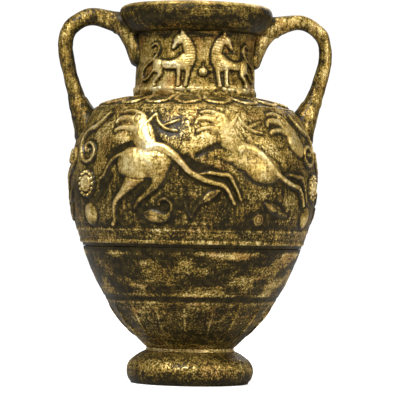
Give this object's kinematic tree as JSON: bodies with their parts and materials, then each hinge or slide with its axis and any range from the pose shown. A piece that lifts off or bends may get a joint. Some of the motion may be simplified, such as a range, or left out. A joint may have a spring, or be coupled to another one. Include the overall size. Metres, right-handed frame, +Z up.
{
  "type": "two-handled relief amphora",
  "caption": "Two-handled ceramic amphora with a flared mouth, loop handles, ring foot and applied animal reliefs, black-brown under rubbed gold.",
  "frame": {"origin": "centre of the foot's underside, on the surface the vase stands on", "axes": "+Z up along the pot's turning axis; the handles lie along X; the front scene faces -Y"},
  "size_m": [0.2558, 0.2334, 0.35],
  "materials": {
    "body_glaze": "black-brown glaze with sponged gold, satin",
    "neck_glaze": "black-brown glaze with heavier rubbed gold, satin",
    "handle_glaze": "black-brown glaze with streaked gold, satin",
    "relief_gold": "rubbed gold over black-brown glaze, semi-gloss",
    "ring_gold": "rubbed gold on the crests, dark in the creases"
  },
  "bodies": {
    "root": {"foot_base": "body_glaze", "foot_collar": "ring_gold", "lower_bowl": "body_glaze", "belly_ring": "ring_gold", "upper_bowl": "body_glaze", "shoulder_ring": "ring_gold", "tongue_skirt": "ring_gold", "neck": "neck_glaze", "neck_ring": "ring_gold", "mouth_rim": "neck_glaze", "handle_left": "handle_glaze", "handle_right": "handle_glaze", "palmette_left": "relief_gold", "palmette_right": "relief_gold", "front_leading_beast": "relief_gold", "front_following_beast": "relief_gold", "front_third_head": "relief_gold", "front_waterfowl": "relief_gold", "front_leaf": "relief_gold", "front_wing": "relief_gold", "front_boss": "relief_gold", "front_left_scroll": "relief_gold", "front_right_scroll": "relief_gold", "front_left_rosette": "relief_gold", "front_right_rosette": "relief_gold", "front_left_tablet": "relief_gold", "front_right_tablet": "relief_gold", "front_left_lion": "relief_gold", "front_right_lion": "relief_gold", "front_neck_boss": "relief_gold", "back_leading_beast": "relief_gold", "back_following_beast": "relief_gold", "back_third_head": "relief_gold", "back_waterfowl": "relief_gold", "back_leaf": "relief_gold", "back_wing": "relief_gold", "back_boss": "relief_gold", "back_left_scroll": "relief_gold", "back_right_scroll": "relief_gold", "back_left_rosette": "relief_gold", "back_right_rosette": "relief_gold", "back_left_tablet": "relief_gold", "back_right_tablet": "relief_gold", "back_left_lion": "relief_gold", "back_right_lion": "relief_gold", "back_neck_boss": "relief_gold"}
  },
  "joints": []
}
